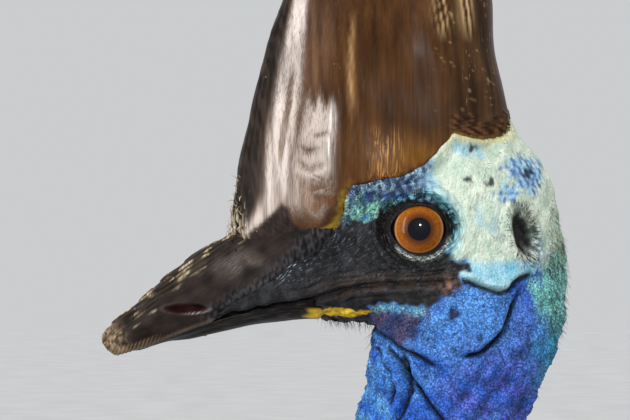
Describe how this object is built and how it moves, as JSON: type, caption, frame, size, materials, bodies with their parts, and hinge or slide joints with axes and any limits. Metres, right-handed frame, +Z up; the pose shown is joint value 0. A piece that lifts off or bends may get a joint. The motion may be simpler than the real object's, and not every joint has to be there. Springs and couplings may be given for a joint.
{
  "type": "cassowary",
  "caption": "Life-size southern cassowary standing still: tall helmet-like casque, bare wrinkled neck with wattles, shaggy drooping coat, strong scaled legs",
  "frame": {"origin": "on the floor under the middle of the bird's bounding box", "axes": "+Z up, -Y the way the bird faces, +X to its left"},
  "size_m": [0.4764, 0.8704, 1.564],
  "materials": {
    "horn_casque": "worn brown horn with a dull gloss",
    "horn_bill": "dark grey horn, flaking pale along the ridge",
    "skin_head": "bare pale blue-green skin",
    "skin_neck": "bare wrinkled deep blue skin",
    "wattle": "bare folded red skin",
    "eye": "wet, brown iris",
    "plumage": "coarse hair-like black feathers",
    "quill": "smooth black quills",
    "leg_scale": "grey horny scales",
    "claw": "dark worn horn"
  },
  "bodies": {
    "root": {"head": "skin_head", "casque": "horn_casque", "bill_upper": "horn_bill", "bill_lower": "horn_bill", "eye_left": "eye", "eye_right": "eye", "neck_upper": "skin_neck", "neck_lower": "skin_neck", "wattle_left": "wattle", "wattle_right": "wattle", "trunk": "plumage", "tail": "plumage", "wing_left": "quill", "wing_right": "quill", "drumstick_left": "plumage", "drumstick_right": "plumage", "shank_left": "leg_scale", "shank_right": "leg_scale", "tarsus_left": "leg_scale", "tarsus_right": "leg_scale", "toe_inner_left": "leg_scale", "toe_inner_right": "leg_scale", "toe_middle_left": "leg_scale", "toe_middle_right": "leg_scale", "toe_outer_left": "leg_scale", "toe_outer_right": "leg_scale", "claw_inner_left": "claw", "claw_inner_right": "claw", "claw_middle_left": "claw", "claw_middle_right": "claw", "claw_outer_left": "claw", "claw_outer_right": "claw"}
  },
  "joints": []
}
